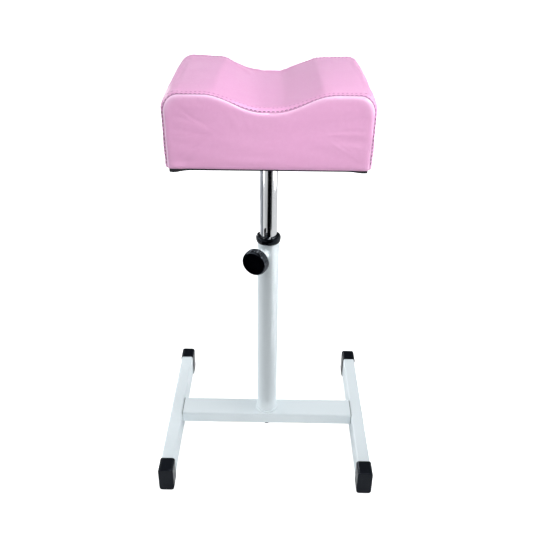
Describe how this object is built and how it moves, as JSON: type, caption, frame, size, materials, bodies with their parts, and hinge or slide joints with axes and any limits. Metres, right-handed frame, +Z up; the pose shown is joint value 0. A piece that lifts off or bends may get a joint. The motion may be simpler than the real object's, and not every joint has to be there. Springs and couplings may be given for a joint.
{
  "type": "pedicure footrest",
  "caption": "Height-adjustable pedicure footrest: padded leg cradle on a chrome post that slides and swivels in a mast, with a clamp knob and an H-shaped base.",
  "frame": {"origin": "on the floor, under the middle of the four end caps", "axes": "+X to the right along the crossbar, -Y to the front, where the clamp knob is, +Z up"},
  "size_m": [0.326, 0.304, 0.6026],
  "materials": {
    "white_powder_coat": "satin",
    "black_rubber": "satin",
    "zinc_plated_steel": "satin",
    "black_gloss_plastic": "gloss",
    "black_matte_plastic": "matte",
    "white_nylon": "satin",
    "chrome_plated_steel": "polished",
    "black_painted_steel": "satin",
    "plywood": "matte",
    "cushion_foam": "matte",
    "pink_artificial_leather": "satin",
    "black_cloth": "matte"
  },
  "bodies": {
    "base": {"leg_left": "white_powder_coat", "leg_right": "white_powder_coat", "crossbar": "white_powder_coat", "end_cap_front_left": "black_rubber", "end_cap_front_right": "black_rubber", "end_cap_rear_left": "black_rubber", "end_cap_rear_right": "black_rubber", "mast_tube": "white_powder_coat", "mast_foot": "white_powder_coat", "mast_bolt": "zinc_plated_steel", "mast_washer": "zinc_plated_steel", "mast_nut": "zinc_plated_steel", "nut_cap": "black_matte_plastic", "mast_collar": "black_gloss_plastic", "clamp_boss": "white_powder_coat"},
    "glide": {"glide_bush": "white_nylon"},
    "post": {"inner_post": "chrome_plated_steel", "post_end_plug": "black_matte_plastic", "mounting_plate": "black_painted_steel", "plate_screw_1": "zinc_plated_steel", "plate_screw_2": "zinc_plated_steel", "plate_screw_3": "zinc_plated_steel", "plate_screw_4": "zinc_plated_steel", "seat_board": "plywood", "foam_block": "cushion_foam", "cover_band": "pink_artificial_leather", "cover_front_panel": "pink_artificial_leather", "cover_rear_panel": "pink_artificial_leather", "dust_cover": "black_cloth"},
    "clamp_presser": {"clamp_pad": "white_nylon"},
    "knob": {"clamp_knob": "black_gloss_plastic", "clamp_screw": "zinc_plated_steel"}
  },
  "joints": [
    {"name": "height_slide", "type": "slide", "parent": "base", "child": "glide", "axis": [0, 0, 1], "range_m": [-0.1215, 0.075]},
    {"name": "post_swivel", "type": "hinge", "parent": "glide", "child": "post", "pos_m": [0, -0.005, 0.36], "axis": [0, 0, 1], "continuous": true},
    {"name": "clamp_travel", "type": "slide", "parent": "base", "child": "clamp_presser", "axis": [-0.4384, -0.8988, 0], "range_m": [0, 0.0025]},
    {"name": "clamp_turn", "type": "hinge", "parent": "clamp_presser", "child": "knob", "pos_m": [0, -0.005, 0.3439], "axis": [-0.4384, -0.8988, 0], "range_deg": [0, 720]}
  ],
  "couplings": [
    {"joint": "clamp_travel", "follows": "clamp_turn", "m_per_rad": 0.0001989}
  ]
}
